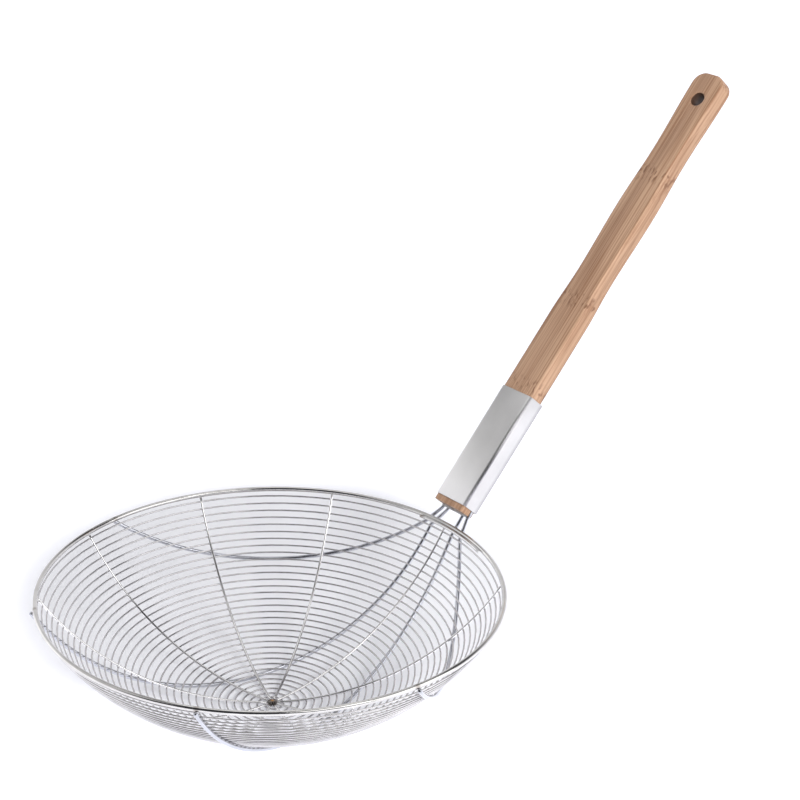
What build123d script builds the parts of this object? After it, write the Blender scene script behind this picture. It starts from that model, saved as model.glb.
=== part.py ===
from build123d import *
import math
import os

# A wire spider skimmer: a shallow woven-wire bowl carried by four wires on a bamboo handle.
# All lengths are millimetres, all angles degrees, and the handle leans towards +X.

# Bowl: the rim wire's circle lies in a level plane and the bowl is a cap of a sphere below it
rim_diameter = 300.0
rim_wire = 3.3
rim_sides = 8
bowl_depth = 82.5
weld_gap = 0.12

# Mesh: one wire wound in a spiral down the bowl
mesh_wire = 1.2
mesh_pitch = 4.97
mesh_start_gap = 0.25
mesh_eye = 5.0
mesh_start_azimuth = 216
outer_steps = 3
inner_steps = 2
fine_turns_share = 0.5

# Spokes and the weld bead where they meet
spoke_count = 10
spoke_wire = 1.8
spoke_sides = 6
spoke_steps = 10
hub_diameter = 7.0
hub_height = 3.2
hub_edge = 0.9

# Short brace wire inside the rim at the handle
brace_wire = 2.2
brace_drop = 1.7
brace_from = 8.5
brace_to = -17

# Support wires: from a slot in the handle, over the outside of the rim and under the bowl
support_wire = 2.7
support_sides = 6
support_bend = 4.0
support_lead = 5.0
elbow_bend = 6.0
elbow_drop = 1.6
support_end_rise = 0.5
tail_length = 22.0
wire_pair_pitch = 5.0
outer_wire_inset = 1.45

# Handle: lean, ferrule and wood
handle_lean = 47.4
ferrule_stand_off = 8.6
ferrule_rise = 13.4
ferrule_width = 29.1
ferrule_thickness = 16.0
ferrule_wall = 0.8
ferrule_length = 86.0
ferrule_corner = 2.6
fit_gap = 0.15
wood_overhang = 4.2
handle_reach = 344.0
bulge_width = 25.8
neck_width = 24.0
waist_width = 20.8
head_width = 26.0
head_land = 2.5
tip_corner = 9.0
top_edge_round = 1.4
lower_edge_round = 3.6
hole_diameter = 10.0
hole_chamfer = 0.9
hole_from_tip = 20.6

# Slot in the wood's lower end and the plate that the wires are welded to
tang_thickness = 1.0
tang_width = 24.0
tang_length = 25.0
tang_proud = 1.2
slot_length = 26.0
slot_floor = 1.7

# Spherical bowl
rim_radius = (rim_diameter - rim_wire) / 2
sphere_radius = (rim_radius**2 + bowl_depth**2) / (2 * bowl_depth)
half_angle = math.asin(rim_radius / sphere_radius)
bowl_arc = half_angle * sphere_radius
centre_height = sphere_radius - bowl_depth

# Layers of wire, from the outside in: supports, mesh, spokes, brace
support_radius = sphere_radius + rim_wire / 2 + support_wire / 2 + weld_gap
mesh_radius = support_radius - support_wire / 2 - mesh_wire / 2 - weld_gap
spoke_radius = mesh_radius - mesh_wire / 2 - spoke_wire / 2 - weld_gap
brace_radius = spoke_radius - spoke_wire / 2 - brace_wire / 2 - weld_gap

# Wood inside the ferrule, and where its lower end is
wood_width = ferrule_width - 2 * ferrule_wall - 2 * fit_gap
wood_thickness = ferrule_thickness - 2 * ferrule_wall - 2 * fit_gap
slot_height = tang_thickness + support_wire + 3 * weld_gap
slot_base = -wood_thickness / 2 + slot_floor
wire_height = slot_base + weld_gap + support_wire / 2
tang_height = slot_base + slot_height - weld_gap - tang_thickness / 2

# Plane of the handle: X runs up the handle, Z stands square to its flat top
handle_up = Vector(math.cos(math.radians(handle_lean)), 0, math.sin(math.radians(handle_lean)))
handle_top = Vector(-handle_up.Z, 0, handle_up.X)
handle_foot = Vector(rim_radius + ferrule_stand_off, 0, ferrule_rise)
handle_plane = Plane(origin=handle_foot, x_dir=handle_up, z_dir=handle_top)


def outward(polar, azimuth):
    """Direction from the sphere's centre, by angle from the bowl's axis and azimuth in radians."""
    level = math.sin(polar)
    return Vector(level * math.cos(azimuth), level * math.sin(azimuth), -math.cos(polar))


def down_bowl(drop):
    """Angle from the bowl's axis at an arc length below the rim."""
    return half_angle - drop / sphere_radius


def bowl_point(radius, polar, azimuth):
    """Point on a sphere that shares the bowl's centre."""
    return Vector(0, 0, centre_height) + outward(polar, azimuth) * radius


def square_on_bowl(radius, polar, azimuth, wire):
    """Four corners of a wire's section: outer, upper, inner and lower."""
    middle = bowl_point(radius, polar, azimuth)
    out = outward(polar, azimuth) * (wire / 2)
    up = outward(polar + math.pi / 2, azimuth) * (wire / 2)
    return Wire.make_polygon([middle + out, middle + up, middle - out, middle - up], close=True)


def ring_section(place, along, wire, sides):
    """Regular section of a wire, square to its run."""
    return Plane(origin=place, z_dir=along) * RegularPolygon(wire / 2, sides)


# Rim
def rim():
    section = Plane.XZ * Pos(rim_radius, 0) * RegularPolygon(rim_wire / 2, rim_sides)
    return revolve(section, Axis.Z)


# Mesh spiral: each gore between two spokes is cut into equal steps, so a corner lies on each spoke
def mesh_spiral():
    gore = 2 * math.pi / spoke_count
    gore_drop = mesh_pitch / spoke_count
    first_drop = rim_wire / 2 + mesh_wire / 2 + mesh_start_gap
    gores = int((bowl_arc - mesh_eye - first_drop) / gore_drop)
    sections = []
    for index in range(gores):
        turn_radius = mesh_radius * math.sin(down_bowl(first_drop + index * gore_drop))
        steps = outer_steps if turn_radius > fine_turns_share * rim_radius else inner_steps
        for step in range(steps):
            travel = index + step / steps
            polar = down_bowl(first_drop + travel * gore_drop)
            azimuth = math.radians(mesh_start_azimuth) - travel * gore
            sections.append(square_on_bowl(mesh_radius, polar, azimuth, mesh_wire))
    return Solid.make_loft(sections, ruled=True)


# Spokes: from the hub's weld bead to the underside of the rim, inside the mesh
def spoke(index):
    azimuth = 2 * math.pi * index / spoke_count
    foot = (hub_diameter / 2 + weld_gap) / spoke_radius
    head = down_bowl(rim_wire / 2 + weld_gap)
    sections = []
    for step in range(spoke_steps + 1):
        polar = foot + (head - foot) * step / spoke_steps
        place = bowl_point(spoke_radius, polar, azimuth)
        across = Vector(-math.sin(azimuth), math.cos(azimuth), 0)
        out = outward(polar, azimuth)
        corners = []
        for side in range(spoke_sides):
            angle = 2 * math.pi * side / spoke_sides
            corners.append(place + (out * math.cos(angle) + across * math.sin(angle)) * (spoke_wire / 2))
        sections.append(Wire.make_polygon(corners, close=True))
    return Solid.make_loft(sections, ruled=True)


# Hub: the weld bead at the bottom of the bowl
def hub():
    bead = Cylinder(hub_diameter / 2, hub_height)
    bead = chamfer(bead.edges().filter_by(GeomType.CIRCLE), hub_edge)
    return Pos(0, 0, centre_height - spoke_radius) * bead


# Brace: a short wire that backs the rim where the supports cross it
def brace():
    polar = down_bowl(brace_drop)
    start = bowl_point(brace_radius, polar, math.radians(brace_from))
    middle = bowl_point(brace_radius, polar, math.radians((brace_from + brace_to) / 2))
    end = bowl_point(brace_radius, polar, math.radians(brace_to))
    path = ThreePointArc(start, middle, end)
    return sweep(ring_section(path @ 0, path % 0, brace_wire, support_sides), path)


# Support wires: where each leaves the rim, its lowest stretch and its welded end
# Columns: side, pair place, start azimuth, middle azimuth, end azimuth
support_table = [
    (1, 0, 9.4, 53, 98),
    (1, 1, 6.0, 71, 151),
    (-1, 1, -2.4, -60, -144),
    (-1, 0, -6.6, -52, -92),
]
start_drop_shares = [0.040, 0.052, 0.052, 0.045]
middle_shares = [0.727, 0.198, 0.248, 0.691]


def support(index):
    side, place, start_azimuth, middle_azimuth, end_azimuth = support_table[index]
    start_polar = half_angle * (1 - start_drop_shares[index])
    middle_polar = half_angle * middle_shares[index]
    start = bowl_point(support_radius, start_polar, math.radians(start_azimuth))
    middle = bowl_point(support_radius, middle_polar, math.radians(middle_azimuth))
    end = bowl_point(support_radius, down_bowl(-support_end_rise), math.radians(end_azimuth))
    cradle = ThreePointArc(start, middle, end)
    corner = start - (cradle % 0) * support_lead
    across = side * (wood_width / 2 - outer_wire_inset - place * wire_pair_pitch)
    elbow = handle_plane.from_local_coords(Vector(-wood_overhang - elbow_drop, across, wire_height))
    tail = handle_plane.from_local_coords(Vector(tail_length - wood_overhang, across, wire_height))
    stem = FilletPolyline(tail, elbow, corner, start, radius=[elbow_bend, support_bend])
    path = Wire([*stem.edges(), *cradle.edges()])
    return sweep(ring_section(path @ 0, path % 0, support_wire, support_sides), path)


# Tang plate: sheet strip under the upper wood that the four tails are welded to
def tang():
    middle = tang_length / 2 - wood_overhang - tang_proud
    strip = Box(tang_length, tang_width, tang_thickness)
    return handle_plane.location * Pos(middle, 0, tang_height) * strip


# Ferrule: rounded rectangular sleeve
def ferrule():
    outside = RectangleRounded(ferrule_thickness, ferrule_width, ferrule_corner)
    inner_thickness = ferrule_thickness - 2 * ferrule_wall
    inner_width = ferrule_width - 2 * ferrule_wall
    inside = RectangleRounded(inner_thickness, inner_width, ferrule_corner - ferrule_wall)
    sleeve = extrude(Plane.YZ.offset(0) * Rot(0, 0, 90) * (outside - inside), ferrule_length)
    return handle_plane.location * sleeve


# Handle: waved bamboo with a rounded tip, a hanging hole and a slotted lower end
neck_share = 0.33
bulge_share = 0.57
waist_share = 0.84
wave_steps = 4
corner_steps = 4
lower_steps = 3
top_steps = 2


def handle_side():
    """Half widths up the handle: each stretch swings from one station to the next as half a cosine."""
    head_start = handle_reach - tip_corner - head_land
    free = head_start - ferrule_length
    stations = [
        (ferrule_length, wood_width / 2),
        (ferrule_length + free * neck_share, neck_width / 2),
        (ferrule_length + free * bulge_share, bulge_width / 2),
        (ferrule_length + free * waist_share, waist_width / 2),
        (head_start, head_width / 2),
    ]
    side = [(-wood_overhang, wood_width / 2)]
    for (start, wide), (end, wide_end) in zip(stations, stations[1:]):
        for step in range(wave_steps):
            swing = (1 - math.cos(math.pi * step / wave_steps)) / 2
            side.append((start + (end - start) * step / wave_steps, wide + (wide_end - wide) * swing))
    side.append(stations[-1])
    return side


def handle_outline(inset, height):
    """Closed outline of the handle, drawn in by an inset, at a height above its middle plane."""
    half = [(along, wide - inset) for along, wide in handle_side()]
    bend = tip_corner - inset
    for step in range(corner_steps + 1):
        angle = math.pi / 2 * (1 - step / corner_steps)
        along = handle_reach - tip_corner + bend * math.cos(angle)
        half.append((along, head_width / 2 - tip_corner + bend * math.sin(angle)))
    points = [Vector(along, wide, height) for along, wide in half]
    points += [Vector(along, -wide, height) for along, wide in reversed(half)]
    return Wire.make_polygon(points, close=True)


def handle():
    top = wood_thickness / 2
    layers = []
    for step in range(lower_steps + 1):
        angle = math.pi / 2 * step / lower_steps
        rise = lower_edge_round * (1 - math.cos(angle))
        layers.append(handle_outline(lower_edge_round * (1 - math.sin(angle)), rise - top))
    for step in range(top_steps + 1):
        angle = math.pi / 2 * (1 - step / top_steps)
        fall = top_edge_round * (1 - math.cos(angle))
        layers.append(handle_outline(top_edge_round * (1 - math.sin(angle)), top - fall))
    body = Solid.make_loft(layers, ruled=True)
    hole = Cylinder(hole_diameter / 2, wood_thickness * 2)
    body -= Pos(handle_reach - hole_from_tip, 0, 0) * hole
    lips = body.edges().filter_by(GeomType.CIRCLE)
    body = chamfer(lips, hole_chamfer)
    slot = Box(slot_length * 2, wood_width * 2, slot_height)
    body -= Pos(-wood_overhang, 0, slot_base + slot_height / 2) * slot
    return handle_plane.location * body


# Name every piece
pieces = {
    "rim": rim(),
    "mesh_spiral": mesh_spiral(),
    "hub_weld": hub(),
    "rim_brace": brace(),
    "tang_plate": tang(),
    "ferrule": ferrule(),
    "handle": handle(),
}
for number in range(spoke_count):
    pieces[f"spoke_{number + 1:02d}"] = spoke(number)
for number in range(len(support_table)):
    pieces[f"support_wire_{number + 1}"] = support(number)

# Put the origin under the middle of the whole part, at its lowest point, and write each piece
whole = Compound([shape for shape in pieces.values()]).bounding_box()
base = Vector((whole.min.X + whole.max.X) / 2, (whole.min.Y + whole.max.Y) / 2, whole.min.Z)
os.makedirs("parts", exist_ok=True)
for name, shape in pieces.items():
    export_step(shape.moved(Location(-base)), f"parts/{name}.step")
print("size", whole.size, "origin", base)
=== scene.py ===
import bpy
import numpy as np
from math import radians
from mathutils import Matrix, Vector


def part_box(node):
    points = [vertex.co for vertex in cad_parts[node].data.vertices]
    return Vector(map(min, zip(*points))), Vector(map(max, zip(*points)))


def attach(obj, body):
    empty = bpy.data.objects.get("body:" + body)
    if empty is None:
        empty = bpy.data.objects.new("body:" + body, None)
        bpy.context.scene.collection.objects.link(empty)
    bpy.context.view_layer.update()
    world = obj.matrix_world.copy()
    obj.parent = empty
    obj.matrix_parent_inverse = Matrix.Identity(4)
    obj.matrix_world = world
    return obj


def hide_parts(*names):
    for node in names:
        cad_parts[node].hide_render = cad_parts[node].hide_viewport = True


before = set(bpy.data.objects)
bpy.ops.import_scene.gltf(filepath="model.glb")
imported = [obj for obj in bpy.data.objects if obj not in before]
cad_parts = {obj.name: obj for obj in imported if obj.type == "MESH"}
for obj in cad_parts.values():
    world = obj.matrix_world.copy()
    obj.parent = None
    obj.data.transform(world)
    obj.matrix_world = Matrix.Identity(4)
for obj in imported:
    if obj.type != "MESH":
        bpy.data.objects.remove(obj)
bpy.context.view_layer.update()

# The camera stands on the open side of the bowl and looks down into it with a long lens.
# It aims at the middle of the rim, then turns a little aside, up and in roll, so that the tip is in view.
rim_low, rim_high = (np.array(corner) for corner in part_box("rim"))
rim_middle = (rim_low + rim_high) / 2
rim_radius = 0.14835
camera_azimuth = radians(-126.9)
camera_height = radians(28.361)
camera_distance = 9.8988 * rim_radius
sight = Vector((np.cos(camera_height) * np.cos(camera_azimuth),
                np.cos(camera_height) * np.sin(camera_azimuth), np.sin(camera_height)))
level = Vector((-np.sin(camera_azimuth), np.cos(camera_azimuth), 0))
upright = sight.cross(level)
aim = Matrix((level, upright, sight)).transposed()
for angle, axis in ((-0.057317, "Y"), (0.081729, "X"), (-0.017771, "Z")):
    aim = aim @ Matrix.Rotation(angle, 3, axis)
camera = bpy.data.objects.new("camera", bpy.data.cameras.new("camera"))
camera.matrix_world = Matrix.Translation(Vector(rim_middle) + sight * camera_distance) @ aim.to_4x4()
camera.data.lens = 103.57
camera.data.sensor_width = 36
camera.data.clip_end = 20
bpy.context.scene.collection.objects.link(camera)
bpy.context.scene.camera = camera
bpy.context.scene.view_settings.view_transform = "Standard"


# A plain studio: a dim ceiling over a pale wall, five soft lamps, and a pale floor that keeps the shadow.
# The floor's glow is seen by the camera and in reflections only, and is dimmer in a disc behind the rim: a
# painted shadow where the bowl's shade lies.
# The strongest lamp is on the camera's right, so the handle's side is lighter than its top.
def node(tree, kind, **inputs):
    """Add one shader node and set the sockets that are named."""
    made = tree.nodes.new(kind)
    for socket, value in inputs.items():
        made.inputs[socket.replace("_", " ")].default_value = value
    return made


def reckon(tree, operation, first, second=None):
    """One step of arithmetic on two values, each a number or another node's output."""
    step = tree.nodes.new("ShaderNodeMath")
    step.operation = operation
    for socket, value in zip(step.inputs, (first, second)):
        if isinstance(value, float):
            socket.default_value = value
        elif value is not None:
            tree.links.new(value, socket)
    return step.outputs[0]


def distance_from(tree, place, point):
    """Distance of the shaded place from a point."""
    gap = node(tree, "ShaderNodeVectorMath")
    gap.operation = "DISTANCE"
    gap.inputs[1].default_value = point
    tree.links.new(place, gap.inputs[0])
    return gap.outputs["Value"]


room = bpy.data.worlds.new("room")
bpy.context.scene.world = room
room.use_nodes = True
tree = room.node_tree
tree.nodes.clear()
way = tree.nodes.new("ShaderNodeTexCoord")
slant = node(tree, "ShaderNodeVectorMath")
slant.operation = "DOT_PRODUCT"
lean, rise = 0.42, 0.9
slant.inputs[1].default_value = (lean * np.cos(camera_azimuth), lean * np.sin(camera_azimuth), rise)
wall = tree.nodes.new("ShaderNodeValToRGB")
light = node(tree, "ShaderNodeBackground", Strength=1.0)
out = tree.nodes.new("ShaderNodeOutputWorld")
tree.links.new(way.outputs["Generated"], slant.inputs[0])
tree.links.new(slant.outputs["Value"], wall.inputs[0])
wall.color_ramp.elements[0].position = 0.08
wall.color_ramp.elements[0].color = (0.86, 0.86, 0.88, 1)
wall.color_ramp.elements[1].position = 0.34
wall.color_ramp.elements[1].color = (0.05, 0.05, 0.055, 1)
seen = tree.nodes.new("ShaderNodeLightPath")
backdrop = tree.nodes.new("ShaderNodeMix")
backdrop.data_type = "RGBA"
backdrop.inputs["B"].default_value = (1, 1, 1, 1)
tree.links.new(seen.outputs["Is Camera Ray"], backdrop.inputs["Factor"])
tree.links.new(wall.outputs[0], backdrop.inputs["A"])
tree.links.new(backdrop.outputs["Result"], light.inputs["Color"])
tree.links.new(light.outputs[0], out.inputs[0])

floor_mesh = bpy.data.meshes.new("floor")
floor_mesh.from_pydata([(-6, -6, 0), (6, -6, 0), (6, 6, 0), (-6, 6, 0)], [], [(0, 1, 2, 3)])
floor = bpy.data.objects.new("floor", floor_mesh)
bpy.context.scene.collection.objects.link(floor)
paint = bpy.data.materials.new("floor_white")
paint.use_nodes = True
tree = paint.node_tree
tree.nodes.clear()
place = tree.nodes.new("ShaderNodeTexCoord")
behind = 0.156
painted_shadow_middle = (rim_middle[0] - behind * np.cos(camera_azimuth),
               rim_middle[1] - behind * np.sin(camera_azimuth), 0)
half_reach = reckon(tree, "MULTIPLY", distance_from(tree, place.outputs["Object"], painted_shadow_middle), 0.5)
spread = tree.nodes.new("ShaderNodeValToRGB")
for _ in range(2):
    spread.color_ramp.elements.new(0.5)
# The glow is low inside the first stops, which is the disc of painted shadow, and rises further out.
glow_with_painted_shadow_stops = ((0.080, 0.21), (0.096, 0.62), (0.30, 0.62), (0.75, 1.0))
for stop, (position, grey) in zip(spread.color_ramp.elements, glow_with_painted_shadow_stops):
    stop.position = position
    stop.color = (grey, grey, grey, 1)
seen = tree.nodes.new("ShaderNodeLightPath")
either = reckon(tree, "MAXIMUM", seen.outputs["Is Camera Ray"], seen.outputs["Is Glossy Ray"])
matt = node(tree, "ShaderNodeBsdfDiffuse", Color=(0.74, 0.74, 0.76, 1))
glow = node(tree, "ShaderNodeEmission", Color=(0.95, 0.96, 1.05, 1))
both = tree.nodes.new("ShaderNodeAddShader")
out = tree.nodes.new("ShaderNodeOutputMaterial")
tree.links.new(half_reach, spread.inputs[0])
tree.links.new(reckon(tree, "MULTIPLY", spread.outputs[0], either), glow.inputs["Strength"])
tree.links.new(matt.outputs[0], both.inputs[0])
tree.links.new(glow.outputs[0], both.inputs[1])
tree.links.new(both.outputs[0], out.inputs[0])
floor_mesh.materials.append(paint)

# Each lamp's azimuth from the camera, its height, its distance, its two sides and its power.
# The front lamp isn't seen in reflections.
lamps = {
    "lamp_front": (radians(24), radians(30), 1.9, (0.5, 0.5), 25),
    "lamp_high": (radians(30), radians(42), 1.6, (0.8, 0.8), 4),
    "lamp_right": (radians(66), radians(26), 1.6, (1.3, 1.5), 10),
    "lamp_left": (radians(-105), radians(30), 1.6, (2.2, 2.0), 8),
    "lamp_back": (radians(170), radians(72), 1.6, (1.2, 1.2), 5),
}
for name, (azimuth, height, away, (wide, tall), power) in lamps.items():
    lamp = bpy.data.objects.new(name, bpy.data.lights.new(name, "AREA"))
    lamp.data.shape = "RECTANGLE"
    lamp.data.size, lamp.data.size_y = wide, tall
    lamp.data.energy = power
    lamp.visible_glossy = name != "lamp_front"
    azimuth += camera_azimuth
    way = Vector((np.cos(height) * np.cos(azimuth), np.cos(height) * np.sin(azimuth), np.sin(height)))
    lamp.location = Vector(rim_middle) + way * away
    lamp.rotation_euler = way.to_track_quat("Z", "Y").to_euler()
    bpy.context.scene.collection.objects.link(lamp)


# The rim is one ring of thick bright stainless wire, butt-welded to itself.
# The bowl is a cap of a sphere below it, and the functions for wires and steel serve every later piece.
rim_wire = 0.0033
bowl_depth = 0.0825
weld_gap = 0.00012
sphere_radius = (rim_radius**2 + bowl_depth**2) / (2 * bowl_depth)
half_angle = np.arcsin(rim_radius / sphere_radius)
bowl_centre = rim_middle + np.array([0, 0, sphere_radius - bowl_depth])


def link_piece(name, mesh, material, cad_node):
    """Show a mesh as a piece of the object that stands for its CAD node."""
    piece = bpy.data.objects.new(name, mesh)
    bpy.context.scene.collection.objects.link(piece)
    mesh.materials.append(material)
    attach(piece, "root")
    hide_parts(cad_node)
    return piece


def grid_mesh(name, grid, closed_u, closed_v, capped=False):
    """Quads over a grid of points: row i and column j join row i+1 and column j+1, wrapped where closed.
    Where it is capped, the first and the last row are each filled with one face."""
    rows, columns = grid.shape[:2]
    i = np.arange(rows if closed_u else rows - 1)[:, None]
    j = np.arange(columns if closed_v else columns - 1)[None, :]
    near, far = (i % rows) * columns, ((i + 1) % rows) * columns
    left, right = j % columns, (j + 1) % columns
    quads = np.stack([near + left, near + right, far + right, far + left], -1).reshape(-1, 4)
    faces = quads.tolist()
    if capped:
        faces += [list(range(columns))[::-1], list(range((rows - 1) * columns, rows * columns))]
    mesh = bpy.data.meshes.new(name)
    mesh.from_pydata(grid.reshape(-1, 3).tolist(), [], faces)
    mesh.shade_smooth()
    mesh.set_sharp_from_angle(angle=radians(50))
    return mesh


def wire_mesh(name, points, away, radius, sides, closed=False):
    """Round wire: at each path point a circle, spanned by the away direction squared to the run and by
    the direction across both. Open ends have two small extra rings, so the cut end is a little rounded."""
    run = np.roll(points, -1, 0) - np.roll(points, 1, 0) if closed else np.gradient(points, axis=0)
    run /= np.linalg.norm(run, axis=1)[:, None]
    side = away - (away * run).sum(1)[:, None] * run
    side /= np.linalg.norm(side, axis=1)[:, None]
    other = np.cross(run, side)
    size = np.full(len(points), radius)
    if not closed:
        nip = radius * 0.3
        points = np.concatenate([points[:1], points[:1] + run[:1] * nip, points[1:-1],
                                 points[-1:] - run[-1:] * nip, points[-1:]])
        side, other = (np.concatenate([a[:1], a, a[-1:]]) for a in (side, other))
        size = np.concatenate([[radius * 0.72], size, [radius * 0.72]])
    turn = np.linspace(0, 2 * np.pi, sides, endpoint=False)
    circle = np.cos(turn)[None, :, None] * side[:, None] + np.sin(turn)[None, :, None] * other[:, None]
    return grid_mesh(name, points[:, None] + size[:, None, None] * circle, closed, True, not closed)


def outward(polar, azimuth):
    """Directions from the bowl's centre: sine of the polar angle sideways, minus its cosine upwards."""
    polar, azimuth = np.broadcast_arrays(polar, azimuth)
    return np.stack([np.sin(polar) * np.cos(azimuth), np.sin(polar) * np.sin(azimuth), -np.cos(polar)], -1)


def steel(name, colour, roughness, grain, tint_places=(), tint_size=0.004, tint=(0.26, 0.22, 0.19, 1)):
    """Bright steel: cloudy noise varies roughness and tone, fine noise dents it, and welds are tinted."""
    made = bpy.data.materials.new(name)
    made.use_nodes = True
    tree = made.node_tree
    shader = tree.nodes["Principled BSDF"]
    shader.inputs["Metallic"].default_value = 1
    place = tree.nodes.new("ShaderNodeTexCoord")
    cloud = node(tree, "ShaderNodeTexNoise", Scale=grain, Detail=4.0)
    tree.links.new(place.outputs["Object"], cloud.inputs["Vector"])
    tone = tree.nodes.new("ShaderNodeValToRGB")
    tone.color_ramp.elements[0].position = 0.3
    tone.color_ramp.elements[0].color = (*[c * 0.80 for c in colour], 1)
    tone.color_ramp.elements[1].position = 0.7
    tone.color_ramp.elements[1].color = (*colour, 1)
    tree.links.new(cloud.outputs[0], tone.inputs[0])
    finish = tone.outputs[0]
    for spot in tint_places:
        fade = tree.nodes.new("ShaderNodeMapRange")
        fade.inputs["From Min"].default_value = tint_size
        fade.inputs["From Max"].default_value = tint_size * 0.35
        fade.inputs["To Max"].default_value = 0.85
        tree.links.new(distance_from(tree, place.outputs["Object"], spot), fade.inputs["Value"])
        burn = tree.nodes.new("ShaderNodeMix")
        burn.data_type = "RGBA"
        burn.inputs["B"].default_value = tint
        tree.links.new(fade.outputs[0], burn.inputs["Factor"])
        tree.links.new(finish, burn.inputs["A"])
        finish = burn.outputs["Result"]
    tree.links.new(finish, shader.inputs["Base Color"])
    rub = tree.nodes.new("ShaderNodeMapRange")
    rub.inputs["To Min"].default_value = roughness * 0.6
    rub.inputs["To Max"].default_value = roughness * 1.5
    tree.links.new(cloud.outputs[0], rub.inputs["Value"])
    tree.links.new(rub.outputs[0], shader.inputs["Roughness"])
    fine = node(tree, "ShaderNodeTexNoise", Scale=grain * 9, Detail=2.0)
    tree.links.new(place.outputs["Object"], fine.inputs["Vector"])
    dent = node(tree, "ShaderNodeBump", Strength=0.12, Distance=0.0001)
    tree.links.new(fine.outputs[0], dent.inputs["Height"])
    tree.links.new(dent.outputs[0], shader.inputs["Normal"])
    return made


ring = np.linspace(0, 2 * np.pi, 240, endpoint=False)
ring_out = np.stack([np.cos(ring), np.sin(ring), np.zeros_like(ring)], 1)
weld_ring = 0.1485
support_end_at = (98, 151, -144, -92)
support_ends = [rim_middle + weld_ring * np.array([np.cos(a), np.sin(a), 0])
                for a in np.radians(support_end_at)]
rim_steel = steel("rim_steel", (0.75, 0.735, 0.72), 0.13, 60, support_ends, 0.0028)
rim_mesh = wire_mesh("rim_ring", rim_middle + rim_radius * ring_out, ring_out, rim_wire / 2, 20, True)
link_piece("rim_ring", rim_mesh, rim_steel, "rim")


# The mesh is one thin wire wound down the bowl in a spiral of thirty-four turns, 5 mm apart.
# It lies under the spokes and is welded to each of them; the turns wander a little by hand.
mesh_wire = 0.0012
support_wire = 0.0027
mesh_pitch = 0.00497
mesh_start_gap, mesh_eye = 0.00025, 0.005
support_radius = sphere_radius + rim_wire / 2 + support_wire / 2 + weld_gap
mesh_radius = support_radius - support_wire / 2 - mesh_wire / 2 - weld_gap
first_drop = rim_wire / 2 + mesh_wire / 2 + mesh_start_gap
turns = (half_angle * sphere_radius - mesh_eye - first_drop) / mesh_pitch
travel = np.linspace(0, turns, int(turns * 80))
wander = 0.00022 * np.sin(travel * 2 * np.pi * 1.37) * np.sin(travel * 2.3 + 0.8)
mesh_polar = half_angle - (first_drop + mesh_pitch * travel + wander * np.minimum(travel, 1)) / sphere_radius
mesh_azimuth = radians(216) - 2 * np.pi * travel
mesh_way = outward(mesh_polar, mesh_azimuth)
mesh_steel = steel("mesh_steel", (0.70, 0.685, 0.69), 0.10, 90)
spiral = wire_mesh("mesh_wire", bowl_centre + mesh_radius * mesh_way, mesh_way, mesh_wire / 2, 8)
link_piece("mesh_wire", spiral, mesh_steel, "mesh_spiral")


# Ten spokes run from the weld bead at the bottom up to the underside of the rim.
# Each is a piece of straight wire bent to the bowl, a little thicker than the mesh.
spoke_count = 10
spoke_wire = 0.0018
hub_radius = 0.0035
spoke_radius = mesh_radius - mesh_wire / 2 - spoke_wire / 2 - weld_gap
spoke_polar = np.linspace((hub_radius + weld_gap) / spoke_radius,
                          half_angle - (rim_wire / 2 + weld_gap) / sphere_radius, 40)
# The spokes' steel is lighter than the other wires': a painted highlight along them.
spoke_steel = steel("spoke_steel", (0.94, 0.93, 0.93), 0.11, 70)
for number in range(1, spoke_count + 1):
    way = outward(spoke_polar, 2 * np.pi * (number - 1) / spoke_count)
    spoke = wire_mesh(f"spoke_{number}", bowl_centre + spoke_radius * way, way, spoke_wire / 2, 12)
    link_piece(f"spoke_{number}", spoke, spoke_steel, f"spoke_{number:02d}")


# The spokes' feet are melted together in one small bead, brown from the weld's heat.
# It is a low star, drawn out a little along every spoke, with a brass-coloured spot on its top.
bead_place = bowl_centre - np.array([0, 0, spoke_radius])
hub_rise = 0.0016
hub_spot = bead_place + np.array([0, 0, hub_rise])
bead_steel = steel("bead_steel", (0.34, 0.31, 0.29), 0.30, 300, [hub_spot], 0.0015, (0.72, 0.36, 0.12, 1))
dome = np.linspace(-np.pi / 2 + 0.12, np.pi / 2 - 0.12, 14)
round_way = np.linspace(0, 2 * np.pi, 120, endpoint=False)
swell = 1 - 0.55 * (1 - np.cos(round_way * spoke_count)) / 2
bead_out = hub_radius * np.cos(dome)[:, None] ** 0.6 * swell[None, :]
bead = np.stack([bead_out * np.cos(round_way), bead_out * np.sin(round_way),
                 hub_rise * np.sin(dome)[:, None] * np.ones_like(round_way)], -1)
link_piece("hub_bead", grid_mesh("hub_bead", bead_place + bead, False, True, True),
           bead_steel, "hub_weld")


# A short brace wire lies along the inside of the rim where the supports cross it.
brace_wire = 0.0022
brace_radius = spoke_radius - spoke_wire / 2 - brace_wire / 2 - weld_gap
brace_way = outward(half_angle - 0.0017 / sphere_radius, np.radians(np.linspace(8.5, -17, 40)))
brace_line = bowl_centre + brace_radius * brace_way
brace_steel = steel("brace_steel", (0.80, 0.79, 0.79), 0.16, 80, [brace_line[0]], 0.005)
link_piece("brace_wire", wire_mesh("brace_wire", brace_line, brace_way, brace_wire / 2, 14),
           brace_steel, "rim_brace")


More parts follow.
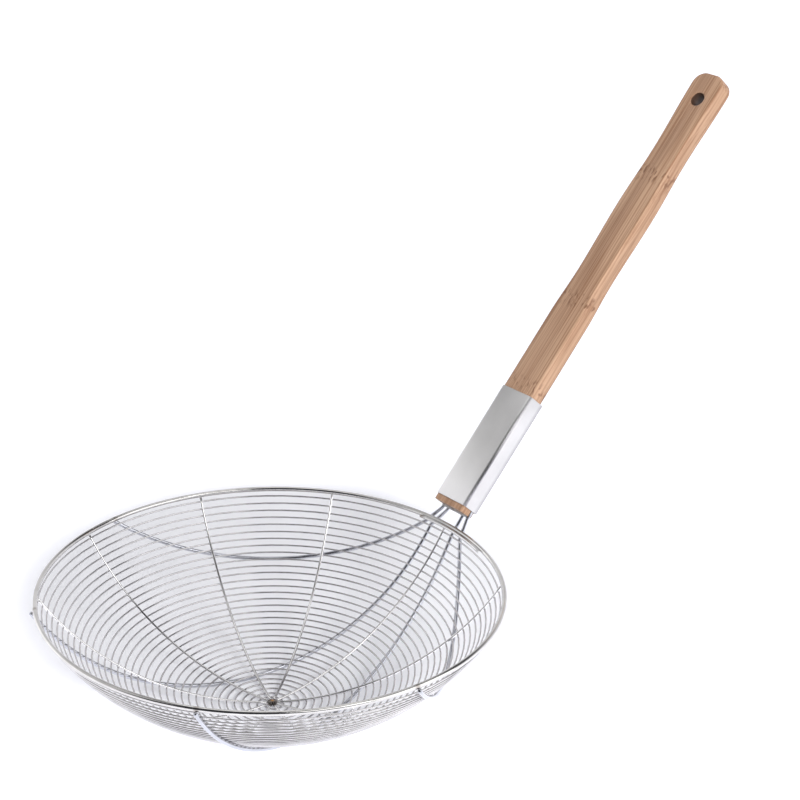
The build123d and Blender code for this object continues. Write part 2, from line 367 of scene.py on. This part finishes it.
# Four support wires leave the slot in the handle as two pairs of prongs.
# Each passes outside the rim, bends, hugs the underside of the bowl and ends welded to the rim.
handle_lean = radians(47.4)
up_handle = np.array([np.cos(handle_lean), 0, np.sin(handle_lean)])
top_way = np.array([-np.sin(handle_lean), 0, np.cos(handle_lean)])
across = np.array([0.0, 1.0, 0.0])
foot_out, foot_up = 0.0086, 0.0134
handle_foot = rim_middle + np.array([rim_radius + foot_out, 0, foot_up])
ferrule_width, ferrule_thickness, ferrule_wall = 0.0291, 0.0160, 0.0008
fit_gaps = 0.0003
wood_width = ferrule_width - 2 * ferrule_wall - fit_gaps
wood_thickness = ferrule_thickness - 2 * ferrule_wall - fit_gaps
wood_overhang = 0.0042
slot_base = -wood_thickness / 2 + 0.0017
slot_height = 0.001 + support_wire + 3 * weld_gap
wire_height = slot_base + weld_gap + support_wire / 2
prong_inset, prong_pitch = 0.00145, 0.005
elbow_below_wood, tail_length, lead_in, past_rim = 0.0016, 0.022, 0.005, 0.0005


def on_handle(along, sideways, height):
    """Place in the handle's own axes: up the handle, across it, and out of its flat top."""
    along, sideways, height = (np.asarray(v, float)[..., None] for v in (along, sideways, height))
    return handle_foot + along * up_handle + sideways * across + height * top_way


def cradle(start, middle, end, count):
    """Arc through three points: the circle's centre solves for equal distances in their plane."""
    a, b = middle - start, end - start
    normal = np.cross(a, b)
    centre = start + np.cross((a @ a) * b - (b @ b) * a, normal) / (2 * (normal @ normal))
    x = (start - centre) / np.linalg.norm(start - centre)
    y = np.cross(normal / np.linalg.norm(normal), x)
    sweep = np.arctan2((end - centre) @ y, (end - centre) @ x) % (2 * np.pi)
    turn = np.linspace(0, sweep, count)[:, None]
    return centre + np.linalg.norm(start - centre) * (np.cos(turn) * x + np.sin(turn) * y)


def round_corner(before, corner, after, radius, count):
    """Bend at a corner: an arc tangent to both straight runs, about the point on their bisector."""
    back = (before - corner) / np.linalg.norm(before - corner)
    on = (after - corner) / np.linalg.norm(after - corner)
    half = np.arccos(back @ on) / 2
    centre = corner + (back + on) / np.linalg.norm(back + on) * radius / np.sin(half)
    first = corner + back * radius / np.tan(half) - centre
    last = corner + on * radius / np.tan(half) - centre
    share = np.linspace(0, 1, count)[:, None]
    sweep = np.pi - 2 * half
    return centre + (np.sin((1 - share) * sweep) * first + np.sin(share * sweep) * last) / np.sin(sweep)


# Each wire's side and place in its pair, how far below the rim its arc starts and how far above the
# bottom its middle lies, both as shares of the bowl's half angle and each with its azimuth in degrees.
supports = [
    (1, 0, 0.040, 9.4, 0.727, 53),
    (1, 1, 0.052, 6.0, 0.198, 71),
    (-1, 1, 0.052, -2.4, 0.248, -60),
    (-1, 0, 0.045, -6.6, 0.691, -52),
]
# The supports' steel is a darker, bluish grey than the rim's: a painted reflection of the lavender shade
# around them.
support_steel = steel("support_steel", (0.64, 0.65, 0.70), 0.13, 55, support_ends, 0.0026)
for number, (side, place, drop, start_at, low, low_at) in enumerate(supports, 1):
    start = bowl_centre + support_radius * outward(half_angle * (1 - drop), radians(start_at))
    middle = bowl_centre + support_radius * outward(half_angle * low, radians(low_at))
    end_at = radians(support_end_at[number - 1])
    end = bowl_centre + support_radius * outward(half_angle + past_rim / sphere_radius, end_at)
    arc = cradle(start, middle, end, 90)
    first_way = (arc[1] - arc[0]) / np.linalg.norm(arc[1] - arc[0])
    corner = start - first_way * lead_in
    sideways = side * (wood_width / 2 - prong_inset - place * prong_pitch)
    elbow = on_handle(-wood_overhang - elbow_below_wood, sideways, wire_height)
    tail = on_handle(tail_length - wood_overhang, sideways, wire_height)
    line = np.concatenate([tail[None], round_corner(tail, elbow, corner, 0.006, 8),
                           round_corner(elbow, corner, start, 0.004, 12), arc])
    away = line - bowl_centre
    link_piece(f"support_{number}", wire_mesh(f"support_{number}", line, away, support_wire / 2, 16),
               support_steel, f"support_wire_{number}")


# The tang plate is a strip of thin steel sheet in the wood's slot, over the tails of the support wires.
tang_steel = steel("tang_steel", (0.62, 0.63, 0.66), 0.28, 120)
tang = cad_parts["tang_plate"]
tang.data.materials.clear()
tang.data.materials.append(tang_steel)


# The ferrule is a sleeve of satin stainless sheet with folded corners, pressed over the wood.
ferrule_length, ferrule_corner = 0.086, 0.0026


def sleeve_loop(wide, thick, corner, count=10):
    """Rounded rectangle: four quarter circles about the corner centres, joined by straight sides."""
    quarter = np.linspace(0, np.pi / 2, count)
    turn = (quarter[None] + np.pi / 2 * np.arange(4)[:, None]).reshape(-1)
    east = np.sign(np.cos(np.pi / 4 + np.pi / 2 * np.arange(4))).repeat(count) * (wide / 2 - corner)
    north = np.sign(np.sin(np.pi / 4 + np.pi / 2 * np.arange(4))).repeat(count) * (thick / 2 - corner)
    return east + corner * np.cos(turn), north + corner * np.sin(turn)


def handle_axes(tree):
    """The shaded place in the handle's own axes: X up the handle, Y across it, Z out of its flat top."""
    place = tree.nodes.new("ShaderNodeTexCoord")
    lie = tree.nodes.new("ShaderNodeMapping")
    lie.vector_type = "TEXTURE"
    lie.inputs["Location"].default_value = handle_foot
    lie.inputs["Rotation"].default_value = (0, -handle_lean, 0)
    tree.links.new(place.outputs["Object"], lie.inputs["Vector"])
    return lie.outputs[0]


edge = 0.0003
wall_profile = [(edge, 0), (0, edge), (0, ferrule_length - edge), (edge, ferrule_length),
                (ferrule_wall, ferrule_length), (ferrule_wall, ferrule_length * 0.5), (ferrule_wall, 0)]
loops = []
for inset, along in wall_profile:
    east, north = sleeve_loop(ferrule_width - 2 * inset, ferrule_thickness - 2 * inset,
                              ferrule_corner - min(inset, 0.0007))
    loops.append(on_handle(np.full(east.shape, along), east, north))
ferrule_mesh = grid_mesh("ferrule_sleeve", np.stack(loops), True, True)
ferrule_steel = steel("ferrule_steel", (0.77, 0.76, 0.755), 0.36, 25)
tree = ferrule_steel.node_tree
shader = tree.nodes["Principled BSDF"]
finish = shader.inputs["Base Color"].links[0].from_socket
fold = tree.nodes.new("ShaderNodeSeparateXYZ")
tree.links.new(handle_axes(tree), fold.inputs[0])
beside = tree.nodes.new("ShaderNodeMapRange")
beside.inputs["From Min"].default_value = ferrule_width / 2 - 0.0013
beside.inputs["From Max"].default_value = ferrule_width / 2 - 0.0006
tree.links.new(reckon(tree, "ABSOLUTE", fold.outputs["Y"]), beside.inputs["Value"])
# Painted shade and dark reflection: the side faces darken towards their upper and lower folds, from the first
# height to the second.
for clear_at, darkest_at in ((ferrule_thickness / 2 - 0.0021, ferrule_thickness / 2 - 0.0012),
                          (-ferrule_thickness / 2 + 0.0052, -ferrule_thickness / 2 + 0.0008)):
    fold_painted_shade = tree.nodes.new("ShaderNodeMapRange")
    for socket, value in {"From Min": clear_at, "From Max": darkest_at, "To Max": 0.62}.items():
        fold_painted_shade.inputs[socket].default_value = value
    tree.links.new(fold.outputs["Z"], fold_painted_shade.inputs["Value"])
    fold_painted_shade_tone = tree.nodes.new("ShaderNodeMix")
    fold_painted_shade_tone.data_type = "RGBA"
    fold_painted_shade_tone.inputs["B"].default_value = (0.24, 0.23, 0.27, 1)
    painted_shade_amount = reckon(tree, "MULTIPLY", fold_painted_shade.outputs[0], beside.outputs[0])
    tree.links.new(painted_shade_amount, fold_painted_shade_tone.inputs["Factor"])
    tree.links.new(finish, fold_painted_shade_tone.inputs["A"])
    finish = fold_painted_shade_tone.outputs["Result"]
tree.links.new(finish, shader.inputs["Base Color"])
link_piece("ferrule_sleeve", ferrule_mesh, ferrule_steel, "ferrule")


# The handle is one piece of bamboo with a flat top, a waved outline, a rounded tip and a hanging hole.
# Its lower end is slotted for the plate and wires, and its edges are eased by sanding.
reach, tip_corner = 0.344, 0.009
head_start = reach - tip_corner - 0.0025
stations = ferrule_length + (head_start - ferrule_length) * np.array([0.0, 0.24, 0.39, 0.60, 0.79, 1.0])
station_widths = np.array([wood_width, 0.0270, 0.0241, 0.0263, 0.0232, 0.0260]) / 2


def half_width(along):
    """Half width up the handle: half a cosine between each two stations, level below the first."""
    index = np.clip(np.searchsorted(stations, along) - 1, 0, len(stations) - 2)
    share = np.clip((along - stations[index]) / (stations[index + 1] - stations[index]), 0, 1)
    step = station_widths[index + 1] - station_widths[index]
    return station_widths[index] + step * (1 - np.cos(np.pi * share)) / 2


side_along = np.concatenate([[-wood_overhang], np.linspace(ferrule_length * 0.9, head_start, 70)])
tip_turn = np.linspace(np.pi / 2, 0, 14)
layers = []
top_half = wood_thickness / 2
tip_half = 0.013
low_ease, top_ease = 0.0036, 0.0014
eased = [(low_ease * (1 - np.sin(a)), low_ease * (1 - np.cos(a)) - top_half)
         for a in np.linspace(0, np.pi / 2, 8)]
eased += [(top_ease * (1 - np.sin(a)), top_half - top_ease * (1 - np.cos(a)))
          for a in np.linspace(np.pi / 2, 0, 5)]
for inset, height in eased:
    bend = tip_corner - inset
    along = np.concatenate([side_along, reach - tip_corner + bend * np.cos(tip_turn)])
    wide = np.concatenate([half_width(side_along) - inset, tip_half - tip_corner + bend * np.sin(tip_turn)])
    along, wide = np.concatenate([along, along[::-1]]), np.concatenate([wide, -wide[::-1]])
    layers.append(on_handle(along, wide, np.full(along.shape, height)))
wood_mesh = grid_mesh("bamboo_handle", np.stack(layers)[::-1], False, True, True)


def cut(piece, grid):
    """Cut the capped tube over a grid of points out of a piece with an exact boolean and apply it."""
    cutter = bpy.data.objects.new("cutter", grid_mesh("cutter", grid, False, True, True))
    bpy.context.scene.collection.objects.link(cutter)
    carve = piece.modifiers.new("carve", "BOOLEAN")
    carve.operation, carve.object, carve.solver = "DIFFERENCE", cutter, "EXACT"
    bpy.context.view_layer.update()
    mesh = bpy.data.meshes.new_from_object(piece.evaluated_get(bpy.context.evaluated_depsgraph_get()))
    piece.modifiers.clear()
    piece.data = mesh
    bpy.data.objects.remove(cutter)


bamboo = bpy.data.materials.new("bamboo")
bamboo.use_nodes = True
handle = link_piece("bamboo_handle", wood_mesh, bamboo, "handle")
hole_at, hole_radius, hole_ease = reach - 0.0206, 0.005, 0.0011
mouth, past_face = 0.0075, 0.001
lip = np.linspace(0, np.pi / 2, 6)
lip_out = hole_radius + hole_ease * (1 - np.sin(lip))
lip_down = hole_ease * (1 - np.cos(lip))
hole_out = np.concatenate([[mouth], lip_out, lip_out[::-1], [mouth]])
hole_up = np.concatenate([[top_half + past_face], top_half - lip_down,
                          lip_down[::-1] - top_half, [-top_half - past_face]])
hole_turn = np.linspace(0, 2 * np.pi, 48, endpoint=False)
hole_grid = on_handle(hole_at + hole_out[:, None] * np.cos(hole_turn), -hole_out[:, None] * np.sin(hole_turn),
                      hole_up[:, None] * np.ones_like(hole_turn))
cut(handle, hole_grid)
slot_along = np.array([-0.03, 0.026 - wood_overhang])
slot_top = slot_base + slot_height
slot_ring = np.array([(-0.02, slot_base), (0.02, slot_base), (0.02, slot_top), (-0.02, slot_top)])
slot_grid = np.stack([on_handle(np.full(4, a), slot_ring[:, 0], slot_ring[:, 1]) for a in slot_along])
cut(handle, slot_grid)
handle.data.shade_smooth()
handle.data.set_sharp_from_angle(angle=radians(40))

tree = bamboo.node_tree
shader = tree.nodes["Principled BSDF"]
place_on_wood = handle_axes(tree)


def streaks(along, sideways, detail, rough=0.6):
    """Noise drawn out lengthwise: the pattern repeats slowly up the handle and quickly across it."""
    stretch = tree.nodes.new("ShaderNodeMapping")
    stretch.inputs["Scale"].default_value = (along, sideways, sideways * 0.6)
    tree.links.new(place_on_wood, stretch.inputs["Vector"])
    noise = node(tree, "ShaderNodeTexNoise", Scale=1.0, Detail=detail, Roughness=rough)
    tree.links.new(stretch.outputs[0], noise.inputs["Vector"])
    return noise.outputs[0]


def blend(kind, amount, under, over):
    """Mix two colours by a factor that is a number or another node's output."""
    mix = tree.nodes.new("ShaderNodeMix")
    mix.data_type, mix.blend_type = "RGBA", kind
    for socket, value in (("Factor", amount), ("A", under), ("B", over)):
        if isinstance(value, (int, float, tuple)):
            mix.inputs[socket].default_value = value
        else:
            tree.links.new(value, mix.inputs[socket])
    return mix.outputs["Result"]


def fit(value, low, high, to_low=0.0, to_high=1.0):
    """Stretch the range between low and high onto another, clamped at both ends."""
    span = tree.nodes.new("ShaderNodeMapRange")
    for socket, number in {"From Min": low, "From Max": high, "To Min": to_low, "To Max": to_high}.items():
        span.inputs[socket].default_value = number
    tree.links.new(value, span.inputs["Value"])
    return span.outputs[0]


fibre = streaks(9, 900, 3.0)
band = streaks(3.5, 150, 2.0)
cloud = streaks(14, 40, 2.0)
wood_colour = blend("MIX", fit(band, 0.36, 0.64), (0.430, 0.262, 0.168, 1), (0.560, 0.358, 0.236, 1))
wood_colour = blend("MULTIPLY", fit(fibre, 0.56, 0.38, 0.0, 0.85), wood_colour, (0.62, 0.51, 0.42, 1))
wood_colour = blend("MULTIPLY", fit(cloud, 0.60, 0.38, 0.0, 0.35), wood_colour, (0.80, 0.72, 0.66, 1))
along_split = tree.nodes.new("ShaderNodeSeparateXYZ")
tree.links.new(place_on_wood, along_split.inputs[0])
# Painted shade: the wood darkens towards its rounded lower edge.
low_edge_painted_shade = fit(along_split.outputs["Z"], 0.0024 - top_half, 0.0010 - top_half)
wood_colour = blend("MULTIPLY", low_edge_painted_shade, wood_colour, (0.80, 0.70, 0.62, 1))
# The bamboo's growth nodes: the place up the handle, the half length and the darkness of the flecks.
for knot_at, knot_half, knot_dark in ((0.0925, 0.0060, 0.75), (0.160, 0.0080, 0.85), (0.262, 0.0085, 0.85)):
    away = reckon(tree, "ABSOLUTE", reckon(tree, "SUBTRACT", along_split.outputs["X"], knot_at))
    fleck = fit(streaks(190, 520, 1.0, 0.4), 0.55, 0.64)
    both = reckon(tree, "MULTIPLY", fit(away, knot_half, knot_half * 0.35), fleck)
    wood_colour = blend("MIX", fit(both, 0.0, 1.0, 0.0, knot_dark), wood_colour, (0.20, 0.095, 0.050, 1))
# The wall of the hanging hole is dark with painted shade.
flat_place = node(tree, "ShaderNodeVectorMath")
flat_place.operation = "MULTIPLY"
flat_place.inputs[1].default_value = (1, 1, 0)
tree.links.new(place_on_wood, flat_place.inputs[0])
hole_near = distance_from(tree, flat_place.outputs[0], (hole_at, 0, 0))
hole_painted_shade = fit(hole_near, hole_radius + 0.0003, hole_radius, 0.0, 0.92)
wood_colour = blend("MIX", hole_painted_shade, wood_colour, (0.055, 0.028, 0.018, 1))
tree.links.new(wood_colour, shader.inputs["Base Color"])
tree.links.new(fit(band, 0.3, 0.7, 0.50, 0.36), shader.inputs["Roughness"])
shader.inputs["Specular IOR Level"].default_value = 0.35
bump = node(tree, "ShaderNodeBump", Strength=0.22, Distance=0.00015)
tree.links.new(fibre, bump.inputs["Height"])
tree.links.new(bump.outputs[0], shader.inputs["Normal"])
